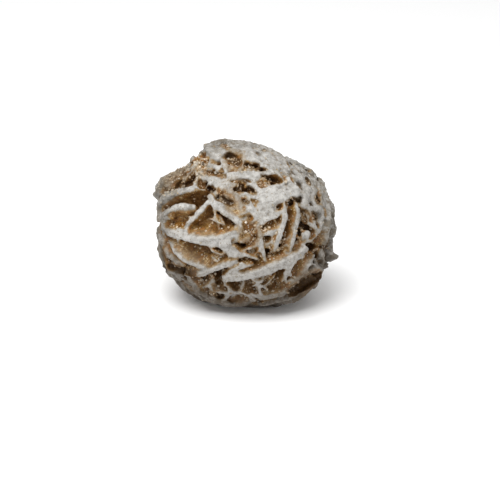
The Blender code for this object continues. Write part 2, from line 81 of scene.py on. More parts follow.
# Places on the face that are a jumble of small crystals: across, up, reach
JUMBLES = [
    (1.5, -4, 4.5), (-3, 7, 4.5), (2, 10, 4.5), (-9, 16, 5), (-20, 12.5, 5), (3, 17, 5),
    (-8, -19, 6), (4, -18, 5), (17, -1, 4), (8, -5, 3.5),
]  # fmt: skip
# Pockets on the face that hold none of them
CLEAN_POCKETS = [(-11, 0.5, 5.0), (-14, -8.5, 5.5), (-18, 6.2, 3.0), (-17.5, 2.0, 3.0)]
JUMBLED_USUALLY = 0.5  # between a clean pocket's 0 and a jumble's 1
# Places that are a crust of very small plates: across, up, reach
FINE_JUMBLES = [
    (1.5, -2.5, 3.5), (-2.5, 4.5, 3.5), (-4, 9, 3.5), (2, 9.5, 4), (-8.5, 12.5, 3),
    (-1.5, 15.5, 3.5),
]  # fmt: skip
# Off the face both follow a rule: blotches of noise.
RULE_SIZE = 9.0
JUMBLED_SWING = 1.6
FINE_JUMBLE_BEHIND = 0.28

# All plates that are scattered
TOP_SHARE = 0.35  # of a plate's length, from its middle to where its top is still whole
LEAST_DEPTH = -0.15  # how far above the skin that may be
STAND_OUTWARD = (0.4, 1.6)  # how much a plate stands straight out, beside its wall's own way
SMALL_PLATE_ROOT = 0.8  # how deep it starts
OCTAGON_RADIUS = 0.5 / math.cos(math.pi / 8)  # of one that is 1 wide from side to side
OCTAGON_UPRIGHT = Matrix.Rotation(math.pi / 2, 4, "X") @ Matrix.Rotation(math.pi / 8, 4, "Z")

# Small plates that grew in the pockets
SMALL_PLATES = 780  # at the most, because a plate that would stand out of the skin is left out
SMALL_PLATE_LENGTH = (2.0, 5.6)
SMALL_PLATE_THICKNESS = (0.5, 0.8)
SMALL_PLATE_HEIGHT = (0.20, 0.85)  # as a share of the room up to the rims
SMALL_PLATE_TALLEST = 4.4
POCKET_DEPTH = 1.1  # a pocket starts this deep
BALD_DEPTH = 3.2  # all but the clean pockets are full of plates from this depth on
CLEAN_JUMBLED = 0.2  # a pocket is clean if it is less jumbled than this

# Low ridges on the crusted parts
RIDGES = 260  # at the most
RIDGE_LENGTH = (2.5, 6.5)
RIDGE_THICKNESS = (0.55, 0.85)
RIDGE_DEPTHS = (0.5, 1.6)  # below the skin, where the crust lies and the rims don't
RIDGE_TOP = (0.0, 0.35)  # below the skin
RIDGE_FACING = 0.8

# Chunks that fill the deep places of the fine jumbles
CHUNKS = 90  # at the most
CHUNK_DEPTH = 3.2
CHUNK_TOP = (1.9, 3.0)  # below the skin
CHUNK_LENGTH = (1.8, 3.6)
CHUNK_THICKNESS = (1.0, 2.0)

# Very small plates that cover the fine jumbles
FINE_PLATES = 330  # at the most
FINE_PLATE_LENGTH = (1.2, 3.0)
FINE_PLATE_THICKNESS = (0.45, 0.60)
FINE_PLATE_TOP = (0.2, 1.4)  # below the skin
FINE_PLATE_TALLEST = 2.2

# Plate edges on the face: their line across and up, how far the top lies below the skin, thickness
PLATE_EDGES = [
    ([(-21.4, -2.6), (-17.8, -3.7), (-14.3, -4.7), (-11.0, -5.5), (-7.9, -6.0),
      (-4.3, -5.4)], 0.2, 1.7),
    ([(-5.0, -15.6), (0.0, -15.1), (5.7, -13.9), (11.4, -11.7), (15.7, -9.2)], 0.2, 1.5),
    ([(-23.7, 5.9), (-21.7, 7.3), (-19.3, 8.3), (-17.0, 9.1), (-14.9, 9.7)], 0.1, 1.7),
    ([(-23.2, 1.8), (-21.3, 3.6), (-19.5, 4.5), (-17.5, 4.8), (-15.0, 4.8)], 0.2, 1.3),
    ([(-9.2, 5.6), (-8.6, 2.8), (-8.1, 0.8)], 0.7, 0.8),
    ([(-24.3, -9.0), (-22.9, -12.2), (-20.6, -14.9), (-17.7, -16.2), (-15.1, -17.7)], 0.1, 0.8),
    ([(-24.4, -3.0), (-23.4, -7.2), (-21.7, -10.8), (-18.6, -12.6)], 0.2, 0.7),
    ([(-16.4, -15.4), (-14.4, -17.6), (-13.0, -20.4)], 0.1, 0.8),
    ([(-12.4, -20.8), (-8.4, -22.0), (-4.0, -22.8)], 0.1, 0.8),
    ([(12.2, -21.0), (16.6, -19.0), (20.4, -16.2), (22.4, -12.8)], 0.0, 0.9),
    ([(7.1, 18.0), (11.0, 16.2), (14.3, 13.7), (17.5, 10.6), (20.0, 7.1),
      (22.0, 3.6), (23.6, 0.0)], 0.0, 0.7),
    ([(11.4, 11.7), (13.9, 10.4), (15.7, 8.6), (17.4, 6.2), (18.6, 3.7), (20.6, -2.9)], 0.0, 0.7),
    ([(-1.4, 20.0), (1.9, 18.6), (4.9, 16.6), (8.3, 14.6), (11.4, 12.3)], 0.0, 0.7),
    ([(18.9, -10.7), (17.2, -13.8), (15.0, -17.5)], 0.5, 0.6),
    ([(14.2, -11.2), (12.8, -13.6), (10.9, -16.1)], 0.5, 0.6),
    ([(9.0, -14.2), (7.5, -15.9), (5.7, -17.5)], 0.4, 0.6),
    ([(3.4, -16.6), (4.0, -18.4), (4.8, -20.4)], 0.3, 0.7),
    ([(19.6, -11.6), (21.2, -12.6), (22.2, -13.4)], 0.3, 0.6),
]  # fmt: skip
EDGE_OVERLAP = 1.25  # how much longer than its stretch of line each piece of an edge is
LEAST_EDGE = 0.4  # height

# The skin that all grows together into
GRAIN_SIZE = 0.38  # of the mesh
MOST_TRIANGLES = 195_000
SPECK = 100  # what comes off with fewer vertices than this is dropped
SMOOTHING = 0.4  # how far each vertex moves to the middle of its neighbours

# Frost covers the rims' crowns: faces that look outwards and lie near the skin. They are looked up
# in the solid with its plates, as it was before all was joined and worn.
CROWN_FACING = 0.72
CROWN_DEPTH = 2.0
FINE_CROWN_DEPTH = 1.1  # where the plates are very small, only what is nearer the skin is frosted
CROWN_EDGE = 0.7  # over this much depth the frost fades out
CROWN_STEPS = 2  # how far it spreads, in steps from vertex to vertex
FLAT_LIFT = 0.1  # from this far above a vertex the nearest such face is looked for

# Frost also covers all that lies near the skin: little on the face, and more round the limb.
FACE_FROST_DEPTH = 0.7
LIMB_FROST_DEPTH = (1.0, 2.4)  # on the dull side, below and left, and on the bright one
LIMB_BRIGHT_SIDE = (-14.0, 6.0)  # across, from the dull side to the bright one
LIMB_BRIGHT_RISE = 0.5  # how much being higher up counts towards the bright side
BACK_FROST_DEPTH = 1.2
NEAR_FROST = 0.8  # the most frost that nearness gives
NEAR_FROST_FULL = 0.4  # share of the depth down to which it gives that much
# Places on the face where frost lies deeper over the plates: across, up, reach, depth
FROSTED_PLACES = [
    (19.0, 10.0, 7.0, 3.0), (15.5, 17.0, 6.0, 3.0), (23.0, 2.5, 4.0, 3.0), (9.0, 21.5, 6.0, 3.0),
    (-6.0, 21.0, 5.0, 2.0), (1.0, 12.0, 4.0, 1.5), (-9.5, 12.5, 3.5, 1.8),
]  # fmt: skip
FROSTED_EDGE = (0.6, 1.2)  # from full to none, in reaches
# Places on the face with little frost: across, up, reach, share that is gone
BARE_PLACES = [
    (-20.0, 13.6, 4.2, 0.38), (-13.5, 13.8, 3.0, 0.2), (19.0, -17.0, 4.5, 0.45),
    (1.5, -3.0, 3.5, 0.4), (-2.5, 4.5, 3.0, 0.35), (-3.5, 10.0, 3.5, 0.25), (-3.0, 17.5, 3.5, 0.35),
]  # fmt: skip
BARE_EDGE = (0.7, 1.3)
PATCH_FADES = (-3, 2)  # all of the face's places fade out towards the back over this stretch
VEIL_STEPS = 9  # how far a thin veil of frost spreads over the amber, in steps between vertices

# The crests are the whitest parts, but painted shade dulls them at the limb and the back.
CREST_DEPTHS = (0.3, 1.5)  # from full crest to none, below the skin
CREST_SHEDS = 0.45  # share of the soil and painted shade that a rim's crest sheds
LIMB_PAINTED_SHADE = 0.90  # share of the crests' whiteness that painted shade takes at the limb
BACK_PAINTED_SHADE = 0.22

# The underside is darkened from one height down to another, as soil and as painted shade under the
# rose.
SOIL_AND_SHADE_TOP = 25.0
SOIL_AND_SHADE_BOTTOM = 4.0
SOIL_AND_SHADE_SHARE = 0.66
# Places on the face darkened by soil and painted shade: across, up, reach, share
SOILED_AND_SHADED_PLACES = [
    (17.5, -17.2, 5.5, 0.74), (-18.0, -13.2, 2.6, 0.62), (20.0, 5.0, 7.0, 0.1),
    (-20.0, 12.6, 5.5, 0.42), (1.5, -3.0, 3.5, 0.38), (-3.0, 7.0, 4.0, 0.25),
    (24.0, 0.0, 4.0, 0.08), (16.0, -8.0, 4.5, 0.3), (20.5, -4.0, 4.0, 0.3), (-24.0, -4.0, 4.5, 0.4),
    (-22.0, -11.0, 4.5, 0.4), (-24.5, 3.0, 3.0, 0.25), (22.0, -9.0, 5.0, 0.45),
    (16.0, -12.5, 3.2, 0.3), (25.5, -9.0, 2.2, 0.45), (-13.5, -8.6, 4.6, 0.34),
    (-24.0, 9.0, 3.0, 0.25), (-8.0, 24.0, 4.0, 0.2), (9.0, 20.0, 8.0, 0.08),
    (-2.0, 22.0, 5.0, 0.12), (17.5, 2.0, 4.0, 0.42), (13.0, 1.0, 3.0, 0.2), (12.5, -7.5, 4.5, 0.3),
    (-4.0, -8.5, 4.5, 0.24), (5.0, -8.5, 4.0, 0.24), (24.5, 1.0, 3.0, 0.14),
    (20.5, -7.0, 4.0, 0.42), (22.0, 5.0, 3.5, 0.16),
]  # fmt: skip
SOILED_AND_SHADED_EDGE = (0.5, 1.3)

# Uneven faces: wavelength, height, how much more of it a grainy place has, where the noise starts
WAVES = [
    (3.2, 0.24, 0, Vector((3, 1, 7))),
    (1.3, 0.28, 1, Vector((11, 5, 2))),
    (0.55, 0.12, 2, Vector((1, 9, 4))),
]
MOST_WORN = 0.4  # the most that wears off each side of a wall, as a share of its thickness
THICK_REACH = 8.0  # a wall counts as no thicker
RAY_LIFT = 0.02  # below the surface, where rays through a wall start
REST_FADES = (0.3, 2.5)  # nothing moves below the first height, so that the rose rests as it did
# Places on the face that are a crust of small grains: across, up, reach, how much
GRAINY_PLACES = [(-20.5, 12.3, 5.0, 1.0), (-14.0, 14.5, 3.5, 1.0)]
GRAINY_EDGE = (0.7, 1.2)

# Long hollows on the face: from across and up, to across and up, reach, depth
HOLLOWS = [
    (-21.0, -12.0, -14.4, -14.0, 1.4, 2.2), (13.4, -18.9, 20.4, -14.6, 2.1, 2.8),
    (-22.0, -12.9, -22.9, -6.4, 0.8, 0.8), (-12.0, -18.6, -8.0, -20.2, 1.1, 0.9),
    (-4.3, 18.6, -2.0, 16.9, 1.7, 2.2), (-6.4, 22.2, -5.0, 21.2, 1.0, 1.0),
    (0.3, 16.2, 4.3, 14.9, 0.9, 1.5), (5.1, 13.0, 8.3, 11.9, 0.8, 1.6),
    (-11.0, 14.2, -5.6, 13.0, 0.9, 1.1), (17.3, 12.6, 18.1, 10.9, 0.7, 1.3),
    (20.0, 7.4, 20.5, 5.8, 0.8, 2.0), (9.0, 11.4, 9.3, 11.2, 0.6, 1.1),
    (5.2, 20.9, 5.6, 20.7, 0.6, 0.9), (22.3, 4.2, 22.7, 2.4, 0.6, 1.0),
    (13.0, 6.8, 15.0, 6.2, 0.8, 1.6), (15.8, 3.2, 16.9, 0.4, 0.9, 1.6),
    (18.9, 3.0, 19.2, 1.2, 0.6, 1.3), (15.1, -2.0, 15.1, -3.2, 0.7, 2.2),
    (9.5, 18.6, 12.6, 16.9, 0.5, 0.55), (13.8, 15.9, 16.0, 13.8, 0.5, 0.6),
    (21.8, 11.8, 23.0, 9.2, 0.45, 0.55), (23.5, 7.9, 24.6, 4.3, 0.45, 0.6),
    (16.4, 16.0, 19.0, 13.2, 0.45, 0.55), (13.2, 15.2, 12.5, 13.6, 0.6, 0.7),
    (15.0, 11.4, 15.7, 8.8, 0.5, 0.6), (2.5, 20.4, 4.1, 19.1, 0.55, 0.6),
    (8.5, 18.5, 8.9, 18.2, 0.6, 0.7), (18.5, 8.8, 19.0, 7.0, 0.5, 0.6),
    (10.0, 20.6, 13.4, 18.9, 0.45, 0.5), (22.4, 0.9, 22.9, -2.4, 0.5, 0.6),
    (-7.0, 7.1, -3.8, 5.4, 1.2, 2.2), (-0.2, 6.1, 0.8, 5.6, 0.8, 1.4),
    (1.2, 10.0, 2.8, 8.4, 0.65, 1.2), (4.8, 3.8, 7.6, 6.4, 0.5, 0.5),
    (7.6, 4.4, 9.8, 6.0, 0.45, 0.5), (9.4, 9.5, 12.4, 11.4, 0.45, 0.45),
    (11.6, 9.2, 13.0, 8.2, 0.5, 0.6), (-2.6, 21.6, 0.6, 20.9, 0.5, 0.5),
    (24.9, 2.4, 25.2, -0.8, 0.45, 0.5),
]  # fmt: skip
HOLLOW_EDGE = (0.35, 1.0)  # from full depth to none, in reaches
HOLLOW_FADES = (-6, 4)  # they fade out towards the back over this stretch
HOLLOW_BARE = (0.35, 1.1)  # depths over which a hollow loses its frost
HOLLOW_SHADE = 0.4  # painted shade for each millimetre that it is deep
HOLLOW_MOST_SHADE = 0.75

# Small holes in the wide crusted parts
HOLES = 50  # at the most, because few places suit them
HOLE_REACH = (0.5, 1.0)
HOLE_STRETCH = 1.7  # longest to widest
HOLE_RAGGED = 0.9  # how uneven its edge is
HOLE_RAGGED_SIZE = 0.7
HOLE_EDGE = (0.25, 1.0)  # from full depth to none, in reaches
HOLE_DEPTH = 1.1  # as a share of its reach
HOLE_BARES = 1.3  # frost that is lost for each millimetre that it is deep
HOLES_BELOW = 0.5  # they are in the crust, which lies this far below the skin, and not in rims
WIDE_CRUST_STEPS = 12  # how far round a spot must be frosted too, in steps from vertex to vertex
WIDE_CRUST = 0.80

# How open a spot is: the share of these rays that nothing within reach stops. The material paints
# shade where it is low.
OPEN_RAYS = 14
OPEN_REACH = 7.0
OPEN_LIFT = 0.15  # above the surface, where they start
OPEN_STEPS = 1  # how far it is evened out, in steps from vertex to vertex

# Small crystals that stick to the pockets' walls
CRUMBS = 3600
CRUMB_SIZE = (0.16, 0.44)
SUGAR_GRAINS = 1300
SUGAR_SIZE = (0.10, 0.22)
BLOCK_SIZE = 1.7  # a blocky crystal's edge, where a round one's radius is 1
GRAIN_TILT = 1.2  # the most, in radians
GRAIN_WIDTH = (0.5, 1)  # as a share of its length
GRAIN_HEIGHT = (0.4, 0.9)
FROSTED_FROM = 0.3  # a wall counts as frosted from here on
FROST_GRAIN_SHARE = 0.02  # chance of one on frost
GRAIN_SHARE = (0.08, 0.92)  # the least chance elsewhere, and what a full jumble adds
GRAIN_DEPTH = 1.6  # they are thickest from this depth on

# The floor, the light and the camera, in metres but where they say otherwise
FLOOR_REACH = 1.5
FLOOR_SHADE = 0.95
SKY_STRENGTH = 0.74
LAMP_OFF = Vector((-0.12, -0.22, 0.52))  # from the rose's middle
LAMP_SIZE = 0.45
LAMP_WATTS = 3.35
LENS = 150  # in millimetres, as is the sensor
SENSOR = 36
CLIP_START = 0.01
VIEW_WIDTH = 500 / 3.5  # what the view spans at the rose, in millimetres
AIM_ACROSS = 1.43  # from the rose's middle to the view's, in millimetres
AIM_BELOW = 4.9


def smoothstep(low, high, value):
    share = np.clip((value - low) / (high - low), 0, 1)
    return share * share * (3 - 2 * share)


def mesh_points(mesh):
    flat = np.empty(len(mesh.vertices) * 3, np.float32)
    mesh.vertices.foreach_get("co", flat)
    return flat.reshape(-1, 3).astype(float)


def mesh_normals(mesh):
    flat = np.empty(len(mesh.vertices) * 3, np.float32)
    mesh.vertex_normals.foreach_get("vector", flat)
    return flat.reshape(-1, 3).astype(float)


class Skin:
    """The rims' radius round the rose, so that any point's depth below them can be told."""

    def __init__(self, solid):
        surface = BVHTree.FromBMesh(solid)
        ball = bmesh.new()
        bmesh.ops.create_icosphere(ball, subdivisions=SKIN_FINENESS, radius=1)
        directions = [vert.co.normalized() for vert in ball.verts]
        ball.free()
        outermost = np.empty(len(directions))
        self.tree = KDTree(len(directions))
        for k, direction in enumerate(directions):
            hit = surface.ray_cast(MIDDLE + direction * OUTSIDE * MM, -direction)[0]
            outermost[k] = (hit - MIDDLE).length
            self.tree.insert(direction, k)
        self.tree.balance()
        self.radii = []
        for direction in directions:
            near = [k for _, k, _ in self.tree.find_n(direction, SKIN_NEIGHBOURS)]
            self.radii.append(float(np.percentile(outermost[near], SKIN_SHARE)))

    def radius(self, direction):
        found = self.tree.find_n(direction.normalized(), 3)
        weights = [1 / (distance + 1e-6) for _, _, distance in found]
        return sum(w * self.radii[k] for w, (_, k, _) in zip(weights, found)) / sum(weights)

    def depth(self, point):
        """How far the point lies below the rims, in millimetres."""
        away = Vector(point) - MIDDLE
        return (self.radius(away) - away.length) / MM

    def spot(self, across, up):
        """The skin's point at a place on the rose's face."""
        level = (FACE_ACROSS * across + FACE_UP * up) * MM
        away = level + FACE_OUT * (FIRST_REACH * MM - level.length)
        for _ in range(SPOT_ROUNDS):
            out = max(0.0, self.radius(away) ** 2 - level.length_squared)
            away = level + FACE_OUT * math.sqrt(out)
        return MIDDLE + away.normalized() * self.radius(away)


class Heap:
    """Many small shapes, made in batches, because every operator slows down on a large bmesh."""

    def __init__(self, whole=None):
        self.whole = whole or bmesh.new()
        self.batch = bmesh.new()

    def settle(self, least=0):
        if len(self.batch.verts) <= least:
            return
        mesh = bpy.data.meshes.new("batch")
        self.batch.to_mesh(mesh)
        self.whole.from_mesh(mesh)
        bpy.data.meshes.remove(mesh)
        self.batch.free()
        self.batch = bmesh.new()


def merged_solid(node):
    bm = bmesh.new()
    bm.from_mesh(node.data)
    bmesh.ops.remove_doubles(bm, verts=bm.verts, dist=1e-7)
    bmesh.ops.triangulate(bm, faces=bm.faces)
    return bm


def face_spot(point):
    """(across, up) of a point on the rose's face in millimetres, or None behind the face."""
    off = point - MIDDLE
    if off.dot(FACE_OUT) < 0:
        return None
    return off.dot(FACE_ACROSS) / MM, off.dot(FACE_UP) / MM


def within(spot, places):
    """Whether a spot on the face lies within reach of any of the places."""
    return any(math.hypot(spot[0] - x, spot[1] - y) < reach for x, y, reach in places)


def jumbled(point):
    """How full of small crystals a place is, from 0 to 1: given on the face, by rule elsewhere."""
    spot = face_spot(point)
    if spot is None:
        rule = noise.noise(point / (RULE_SIZE * MM))
        return max(0.0, min(1.0, JUMBLED_USUALLY + JUMBLED_SWING * rule))
    if within(spot, JUMBLES):
        return 1.0
    return 0.0 if within(spot, CLEAN_POCKETS) else JUMBLED_USUALLY


def fine_jumble(point):
    """Whether a place is a crust of very small plates: given on the face, by a rule elsewhere."""
    spot = face_spot(point)
    if spot is None:
        return noise.noise(point / (RULE_SIZE * MM)) > FINE_JUMBLE_BEHIND
    return within(spot, FINE_JUMBLES)


def scatter(surface, count, purpose, share):
    """Places spread over all that can be seen of a surface, kept by the chance that share() gives.

    Each has random draws of its own, so that no place hangs on those before it.
    """
    places = []
    for k in range(MOST_TRIES * count):
        rng = random.Random(f"{SEED} {purpose} {k}")
        start = MIDDLE + random_way(rng) * OUTSIDE * MM
        target = MIDDLE + random_way(rng) * rng.uniform(0, AIM_ASIDE) * MM
        point, normal, _, _ = surface.ray_cast(start, (target - start).normalized())
        if point is None or point.z < LEAST_HEIGHT * MM:
            continue
        if rng.random() < share(point, normal):
            places.append((point, normal, rng))
        if len(places) == count:
            break
    return places


def random_way(rng):
    return Vector([rng.gauss(0, 1) for _ in range(3)]).normalized()


def basis(out, turn):
    """Axes with Z along out, turned round it."""
    across = out.orthogonal().normalized()
    across.rotate(Matrix.Rotation(turn, 3, out))
    return Matrix((across, out.cross(across), out)).transposed().to_4x4()


def add_plate(batch, point, stand, along, length, thickness, height):
    """A small plate rooted at a point, standing one way and lying another, its corners cut off."""
    along = (along - along.dot(stand) * stand).normalized()
    axes = Matrix((along, stand.cross(along), stand)).transposed().to_4x4()
    middle = Matrix.Translation((0, 0, 0.5 * (height - SMALL_PLATE_ROOT) * MM))
    size = Matrix.Diagonal((length * MM, thickness * MM, (height + SMALL_PLATE_ROOT) * MM, 1))
    bmesh.ops.create_cone(
        batch,
        cap_ends=True,
        segments=8,
        radius1=OCTAGON_RADIUS,
        radius2=OCTAGON_RADIUS,
        depth=1,
        matrix=Matrix.Translation(point) @ axes @ middle @ size @ OCTAGON_UPRIGHT,
    )


def add_plates(bm, skin, count, purpose, share, form):
    """Plates rooted where share() lets them, as long, thick and tall as form() says."""
    heap = Heap(bm)
    for point, normal, rng in scatter(BVHTree.FromBMesh(bm), count, purpose, share):
        heap.settle(BATCH)
        outward = (point - MIDDLE).normalized()
        stand = (normal + outward * rng.uniform(*STAND_OUTWARD)).normalized()
        along = random_way(rng).cross(stand).normalized()
        length, thickness, height = form(rng, point)
        middle = point + stand * height * MM
        reach = along * TOP_SHARE * length * MM
        if min(skin.depth(middle + reach), skin.depth(middle - reach)) > LEAST_DEPTH:
            add_plate(heap.batch, point, stand, along, length, thickness, height)
    heap.settle()


def between(rng, least_and_most):
    return rng.uniform(*least_and_most)


def grow_plates(bm, skin):
    """All the plates that are too many or too small for the solid."""

    def on_crust(point, normal):
        facing = normal.dot((point - MIDDLE).normalized()) > RIDGE_FACING
        return facing and RIDGE_DEPTHS[0] < skin.depth(point) < RIDGE_DEPTHS[1]

    def ridge(rng, point):
        top = skin.depth(point) - between(rng, RIDGE_TOP)
        return between(rng, RIDGE_LENGTH), between(rng, RIDGE_THICKNESS), top

    def deep_jumble(point, _):
        return fine_jumble(point) and skin.depth(point) > CHUNK_DEPTH

    def chunk(rng, point):
        top = skin.depth(point) - between(rng, CHUNK_TOP)
        return between(rng, CHUNK_LENGTH), between(rng, CHUNK_THICKNESS), top

    def in_pocket(point, _):
        depth = skin.depth(point)
        full = jumbled(point)
        if depth < POCKET_DEPTH:
            return 0
        return 1 if depth > BALD_DEPTH and full > CLEAN_JUMBLED else full

    def small(rng, point):
        height = min(skin.depth(point) * between(rng, SMALL_PLATE_HEIGHT), SMALL_PLATE_TALLEST)
        return between(rng, SMALL_PLATE_LENGTH), between(rng, SMALL_PLATE_THICKNESS), height

    def shallow_jumble(point, _):
        return fine_jumble(point) and skin.depth(point) > FINE_PLATE_TOP[1]

    def fine(rng, point):
        height = min(skin.depth(point) - between(rng, FINE_PLATE_TOP), FINE_PLATE_TALLEST)
        return between(rng, FINE_PLATE_LENGTH), between(rng, FINE_PLATE_THICKNESS), height

    add_plate_edges(bm, skin)
    add_plates(bm, skin, RIDGES, "ridges", on_crust, ridge)
    add_plates(bm, skin, CHUNKS, "chunks", deep_jumble, chunk)
    add_plates(bm, skin, SMALL_PLATES, "small plates", in_pocket, small)
    add_plates(bm, skin, FINE_PLATES, "fine plates", shallow_jumble, fine)


def add_plate_edges(bm, skin):
    """The plate edges whose lines over the face are known, each rooted in what lies below it."""
    surface = BVHTree.FromBMesh(bm)
    heap = Heap(bm)
    for line, top, thickness in PLATE_EDGES:
        for start, end in zip(line, line[1:]):
            along = skin.spot(*end) - skin.spot(*start)
            crest = skin.spot((start[0] + end[0]) / 2, (start[1] + end[1]) / 2)
            outward = (crest - MIDDLE).normalized()
            root = surface.ray_cast(MIDDLE + outward * OUTSIDE * MM, -outward)[0]
            height = max(LEAST_EDGE, skin.depth(root) - top)
            length = EDGE_OVERLAP * along.length / MM
            add_plate(heap.batch, root, outward, along, length, thickness, height)
    heap.settle()


def by_place(points, face, limb, back):
    """A value for each point, out of the ones that the face, its limb and the back have."""
    across, up, out = on_face(points)
    front = face + (limb - face) * smoothstep(LIMB_STARTS, LIMB_FULL, np.hypot(across, up))
    return front + (back - front) * smoothstep(BACK_STARTS, BACK_FULL, -out)


def on_face(points):
    """Across, up and out of points on the rose's face, in millimetres."""
    off = (points - np.array(MIDDLE)) / MM
    return off @ np.array(FACE_ACROSS), off @ np.array(FACE_UP), off @ np.array(FACE_OUT)


def outward_from_middle(points):
    away = points - np.array(MIDDLE)
    return away / np.linalg.norm(away, axis=1)[:, None]


def patch(points, places, edge):
    """For each point the most that any of the face's places gives it, fading out over its edge."""
    across, up, out = on_face(points)
    most = np.zeros(len(points))
    for x, y, reach, value in places:
        far = np.hypot(across - x, up - y) / reach
        most = np.maximum(most, value * (1 - smoothstep(*edge, far)))
    return most * smoothstep(*PATCH_FADES, out)


def hollowed(points):
    """How far the face's long hollows sink each point straight back, in millimetres."""
    across, up, out = on_face(points)
    sunk = np.zeros(len(points))
    for x0, y0, x1, y1, reach, depth in HOLLOWS:
        along = np.array([x1 - x0, y1 - y0])
        length = np.hypot(*along)
        along = along / length
        run = np.clip((across - x0) * along[0] + (up - y0) * along[1], 0, length)
        far = np.hypot(across - x0 - run * along[0], up - y0 - run * along[1]) / reach
        sunk = np.maximum(sunk, depth * (1 - smoothstep(*HOLLOW_EDGE, far)))
    return sunk * smoothstep(*HOLLOW_FADES, out)


def apply_modifiers(obj):
    """Puts what the modifiers make in place of the object's mesh."""
    bpy.context.view_layer.update()
    graph = bpy.context.evaluated_depsgraph_get()
    result = bpy.data.meshes.new_from_object(obj.evaluated_get(graph), depsgraph=graph)
    obj.modifiers.clear()
    obj.data = result


def new_object(name, bm):
    mesh = bpy.data.meshes.new(name)
    bm.to_mesh(mesh)
    bm.free()
    obj = bpy.data.objects.new(name, mesh)
    bpy.context.scene.collection.objects.link(obj)
    return obj


def grow_together(obj):
    """Joins all that was added into one skin, with rims and corners worn by a grain's width."""
    grown = obj.modifiers.new("grown_together", "REMESH")
    grown.mode = "VOXEL"
    grown.voxel_size = GRAIN_SIZE * MM
    apply_modifiers(obj)
    triangles = sum(len(face.vertices) - 2 for face in obj.data.polygons)
    thinned = obj.modifiers.new("thinned", "DECIMATE")
    thinned.ratio = min(1.0, MOST_TRIANGLES / triangles)
    apply_modifiers(obj)
    drop_specks(obj.data)


def drop_specks(mesh):
    """Takes away the specks that came off, so that one closed skin is left."""
    bm = bmesh.new()
    bm.from_mesh(mesh)
    seen = [False] * len(bm.verts)
    specks = []
    for vert in bm.verts:
        if seen[vert.index]:
            continue
        seen[vert.index] = True
        joined = [vert]
        for member in joined:
            for edge in member.link_edges:
                other = edge.other_vert(member)
                if not seen[other.index]:
                    seen[other.index] = True
                    joined.append(other)
        if len(joined) < SPECK:
            specks += joined
    bmesh.ops.delete(bm, geom=specks, context="VERTS")
    bm.to_mesh(mesh)
    bm.free()


def surface_of(mesh):
    bm = bmesh.new()
    bm.from_mesh(mesh)
    tree = BVHTree.FromBMesh(bm)
    bm.free()
    return tree


def thickness(mesh, points, normals):
    """How far it is through the wall under each vertex, in millimetres."""
    surface = surface_of(mesh)
    through = np.full(len(points), THICK_REACH)
    for k, (point, normal) in enumerate(zip(points, normals)):
        inwards = -Vector(normal)
        start = Vector(point) + inwards * RAY_LIFT * MM
        distance = surface.ray_cast(start, inwards, THICK_REACH * MM)[3]
        if distance is not None:
            through[k] = distance / MM
    return through


def wave(points, wavelength, offset):
    return np.array([noise.noise(Vector(p) / (wavelength * MM) + offset) for p in points])


def spread_to_neighbours(mesh, values, times):
    """Each vertex's value, evened out with those of its neighbours."""
    ends = np.empty(len(mesh.edges) * 2, np.int32)
    mesh.edges.foreach_get("vertices", ends)
    a, b = ends.reshape(-1, 2).T
    count = np.bincount(a, minlength=len(values)) + np.bincount(b, minlength=len(values))
    for _ in range(times):
        total = np.bincount(a, values[b], len(values)) + np.bincount(b, values[a], len(values))
        values = 0.5 * values + 0.5 * total / np.maximum(count, 1)
    return values


def openness(mesh, points, normals):
    """The share of the sky above each vertex that nothing near blocks, by which the material paints
    shade.
    """
    tree = surface_of(mesh)
    rays = []
    for k in range(OPEN_RAYS):
        up = math.sqrt(1 - (k + 0.5) / OPEN_RAYS)
        level = math.sqrt(1 - up * up)
        turn = k * math.pi * (3 - math.sqrt(5))
        rays.append(Vector((level * math.cos(turn), level * math.sin(turn), up)))
    shares = np.empty(len(points))
    for k, (point, normal) in enumerate(zip(points, normals)):
        normal = Vector(normal)
        turned = normal.to_track_quat("Z", "Y")
        start = Vector(point) + normal * OPEN_LIFT * MM
        missed = sum(tree.ray_cast(start, turned @ ray, OPEN_REACH * MM)[0] is None for ray in rays)
        shares[k] = missed / OPEN_RAYS
    return shares


def set_attribute(mesh, name, values):
    made = mesh.attributes.new(name, "FLOAT", "POINT")
    made.data.foreach_set("value", values.astype(np.float32))


def soil_and_painted_shade(points, crest):
    """How soiled and painted-shaded each point is: darker towards the resting face and in a few
    places, and less on crests.
    """
    soil_and_shade = SOIL_AND_SHADE_SHARE * smoothstep(SOIL_AND_SHADE_TOP, SOIL_AND_SHADE_BOTTOM, points[:, 2] / MM)
    soil_and_shade = np.maximum(soil_and_shade, patch(points, SOILED_AND_SHADED_PLACES, SOILED_AND_SHADED_EDGE))
    return soil_and_shade * (1 - CREST_SHEDS * crest)


def frosting(mesh, points, normals, depths, flat):
    """How frosted each point is, from 0 to 1."""
    across, up, _ = on_face(points)
    outward = outward_from_middle(points)
    facing = np.empty(len(points))
    for k, (point, normal) in enumerate(zip(points, normals)):
        flat_normal = flat.find_nearest(Vector(point) + FLAT_LIFT * MM * Vector(normal))[1]
        facing[k] = flat_normal.dot(outward[k])
    fine = np.array([fine_jumble(Vector(point)) for point in points])
    deepest = np.where(fine, FINE_CROWN_DEPTH, CROWN_DEPTH)
    crown = (facing > CROWN_FACING) * (1 - smoothstep(deepest - CROWN_EDGE, deepest, depths))
    frost = spread_to_neighbours(mesh, crown, CROWN_STEPS)
    bright_side = smoothstep(*LIMB_BRIGHT_SIDE, across + LIMB_BRIGHT_RISE * up)
    limb = LIMB_FROST_DEPTH[0] + (LIMB_FROST_DEPTH[1] - LIMB_FROST_DEPTH[0]) * bright_side
    reach = by_place(points, FACE_FROST_DEPTH, limb, BACK_FROST_DEPTH)
    reach = np.maximum(reach, patch(points, FROSTED_PLACES, FROSTED_EDGE))
    near = NEAR_FROST * (1 - smoothstep(NEAR_FROST_FULL * reach, reach, depths))
    return np.maximum(frost, near) * (1 - patch(points, BARE_PLACES, BARE_EDGE))


